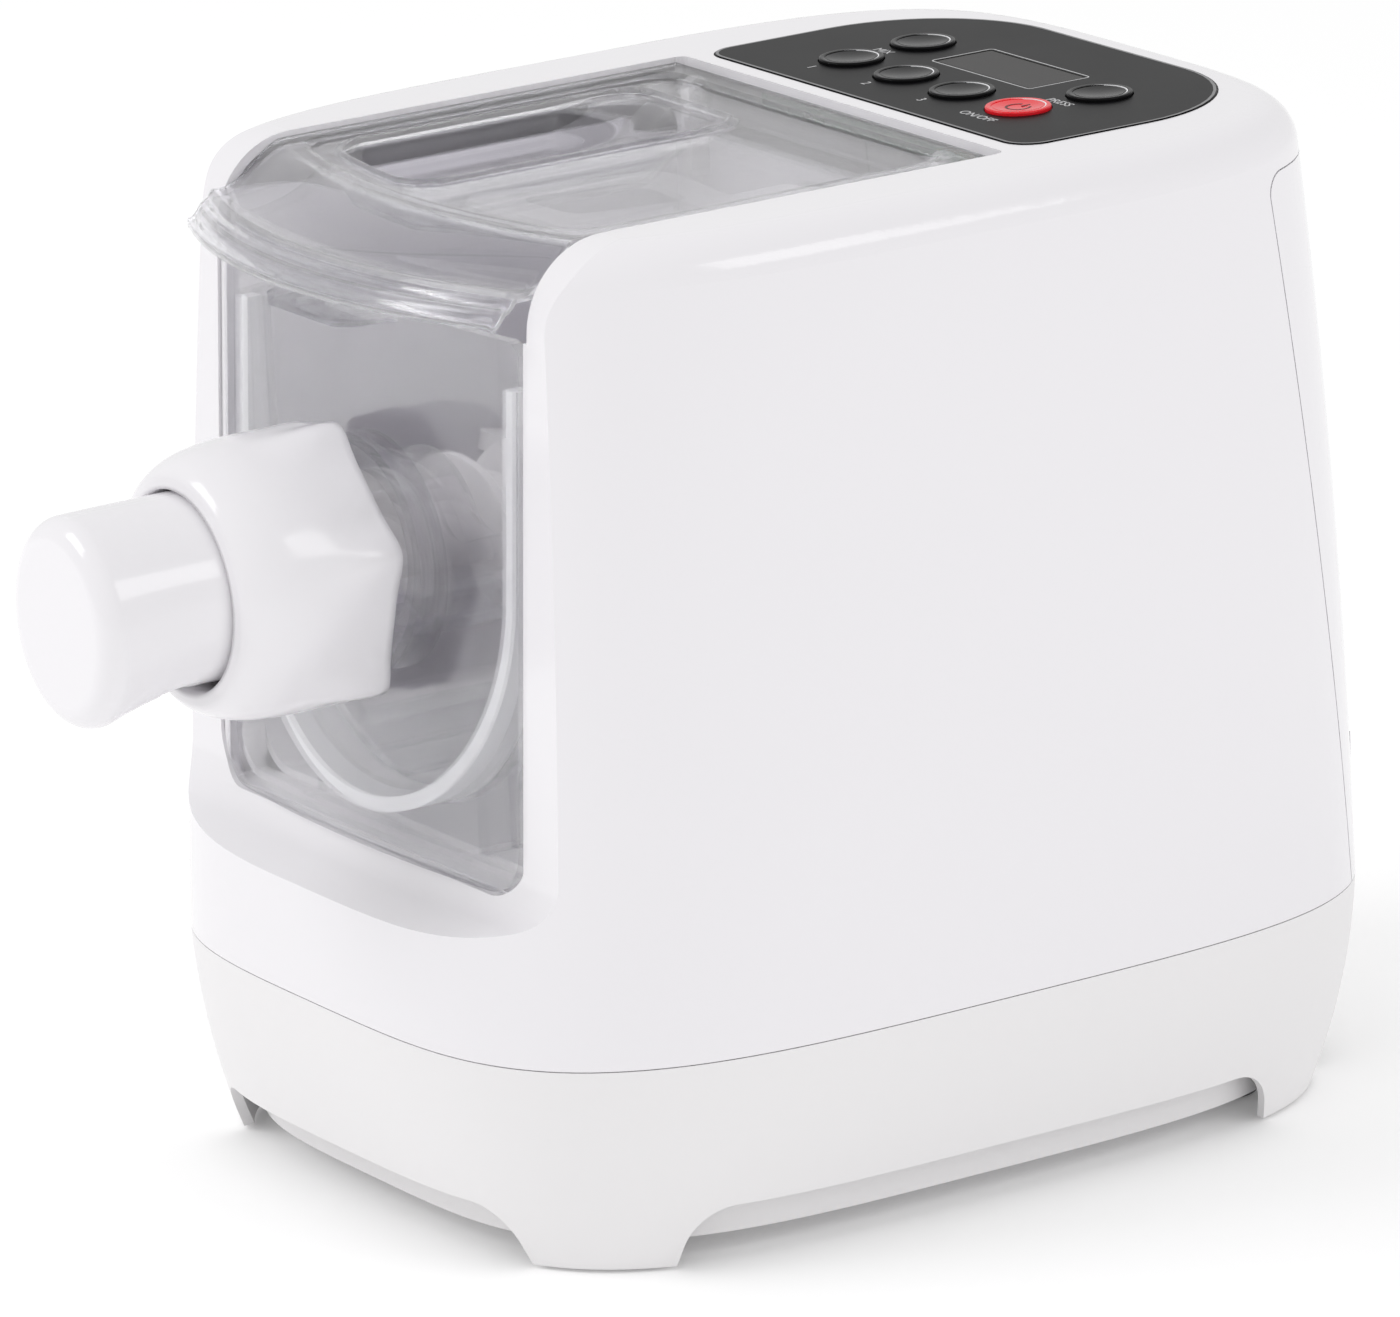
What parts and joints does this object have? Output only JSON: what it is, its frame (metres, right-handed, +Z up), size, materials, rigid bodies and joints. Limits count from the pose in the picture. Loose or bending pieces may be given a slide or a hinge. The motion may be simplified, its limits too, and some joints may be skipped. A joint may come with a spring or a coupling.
{
  "type": "electric pasta maker",
  "caption": "White electric pasta maker with a clear hinged lid, a clear kneading bowl and panel, an outlet nut with a hood, and a black control panel on top.",
  "frame": {"origin": "on the floor, under the middle of the overall length from the outlet hood's tip to the back, on the shaft's vertical plane", "axes": "+Z up, -Y towards the front where the pasta comes out, +X to the right seen from behind the outlet looking back"},
  "size_m": [0.237, 0.3645, 0.2763],
  "materials": {
    "white_gloss": "glossy white moulding",
    "white_satin": "satin white moulding",
    "rubber_dark": "soft black rubber",
    "steel": "plain steel",
    "plated_steel": "plated sheet",
    "bronze": "sintered bronze",
    "motor_steel": "zinc plated can",
    "black_gloss": "glossy black panel",
    "display_glass": "smoked window",
    "module_black": "black moulding",
    "board_green": "circuit laminate",
    "gear_nylon": "natural nylon",
    "clear_tint": "clear moulding with a faint tint",
    "seal_clear": "pale silicone",
    "key_black": "glossy black key",
    "key_red": "red key"
  },
  "bodies": {
    "housing": {"upper_shell": "white_gloss", "rear_cover": "white_gloss", "base_shell": "white_satin", "belly_tub": "white_satin", "foot_pads": "rubber_dark", "foot_screws": "steel", "bay_liner": "white_gloss", "gear_plate_front": "plated_steel", "gear_plate_back": "plated_steel", "plate_posts": "steel", "plate_screws": "steel", "plate_standoffs": "steel", "shaft_bearings": "bronze", "idler_axle": "steel", "motor_case": "motor_steel", "shaft_seal": "rubber_dark", "control_fascia": "black_gloss", "display_window": "display_glass", "display_module": "module_black", "circuit_board": "board_green", "board_stand": "white_satin", "key_switches": "module_black", "lid_switch": "module_black", "power_inlet": "module_black", "hinge_pins": "steel", "hinge_brackets": "white_satin"},
    "motor_rotor": {"motor_shaft": "steel", "motor_pinion": "bronze", "cooling_fan": "module_black"},
    "idler": {"idler_gear": "gear_nylon"},
    "drive": {"drive_shaft": "steel", "output_gear": "gear_nylon"},
    "bowl": {"mixing_bowl": "clear_tint", "front_panel": "clear_tint", "bowl_seal": "seal_clear", "screw_barrel": "clear_tint", "pasta_die": "white_satin", "outlet_hood": "white_gloss"},
    "mixer": {"mixing_paddle": "white_satin", "extrusion_screw": "white_satin"},
    "nut": {"die_nut": "white_gloss"},
    "lid": {"clear_lid": "clear_tint"},
    "key_one_cup": {"key_one_cup": "key_black"},
    "key_two_cups": {"key_two_cups": "key_black"},
    "key_three_cups": {"key_three_cups": "key_black"},
    "key_power": {"key_power": "key_red"},
    "key_knead": {"key_knead": "key_black"},
    "key_extrude": {"key_extrude": "key_black"}
  },
  "joints": [
    {"name": "shaft_turn", "type": "hinge", "parent": "housing", "child": "drive", "pos_m": [0, 0.08975, 0.179], "axis": [0, 1, 0], "continuous": true},
    {"name": "idler_turn", "type": "hinge", "parent": "housing", "child": "idler", "pos_m": [-0.02839, 0.08975, 0.13845], "axis": [0, 1, 0], "continuous": true},
    {"name": "motor_turn", "type": "hinge", "parent": "housing", "child": "motor_rotor", "pos_m": [-0.01079, 0.08975, 0.10534], "axis": [0, 1, 0], "continuous": true},
    {"name": "bowl_slide", "type": "slide", "parent": "housing", "child": "bowl", "axis": [0, -1, 0], "range_m": [0, 0.09]},
    {"name": "mixer_turn", "type": "hinge", "parent": "bowl", "child": "mixer", "pos_m": [0, 0.02975, 0.179], "axis": [0, 1, 0], "continuous": true},
    {"name": "nut_turn", "type": "hinge", "parent": "bowl", "child": "nut", "pos_m": [0, -0.12025, 0.179], "axis": [0, 1, 0], "range_deg": [0, 90]},
    {"name": "lid_hinge", "type": "hinge", "parent": "housing", "child": "lid", "pos_m": [0, 0.05975, 0.267], "axis": [-1, 0, 0], "range_deg": [0, 80]},
    {"name": "key_one_cup_press", "type": "slide", "parent": "housing", "child": "key_one_cup", "axis": [0, 0, -1], "range_m": [0, 0.0008], "stiffness_N_per_m": 400, "springref_m": -0.0004},
    {"name": "key_two_cups_press", "type": "slide", "parent": "housing", "child": "key_two_cups", "axis": [0, 0, -1], "range_m": [0, 0.0008], "stiffness_N_per_m": 400, "springref_m": -0.0004},
    {"name": "key_three_cups_press", "type": "slide", "parent": "housing", "child": "key_three_cups", "axis": [0, 0, -1], "range_m": [0, 0.0008], "stiffness_N_per_m": 400, "springref_m": -0.0004},
    {"name": "key_power_press", "type": "slide", "parent": "housing", "child": "key_power", "axis": [0, 0, -1], "range_m": [0, 0.0008], "stiffness_N_per_m": 400, "springref_m": -0.0004},
    {"name": "key_knead_press", "type": "slide", "parent": "housing", "child": "key_knead", "axis": [0, 0, -1], "range_m": [0, 0.0008], "stiffness_N_per_m": 400, "springref_m": -0.0004},
    {"name": "key_extrude_press", "type": "slide", "parent": "housing", "child": "key_extrude", "axis": [0, 0, -1], "range_m": [0, 0.0008], "stiffness_N_per_m": 400, "springref_m": -0.0004}
  ],
  "couplings": [
    {"joint": "mixer_turn", "follows": "shaft_turn", "ratio": 1},
    {"joint": "idler_turn", "follows": "shaft_turn", "ratio": -4.5},
    {"joint": "motor_turn", "follows": "shaft_turn", "ratio": 18}
  ]
}
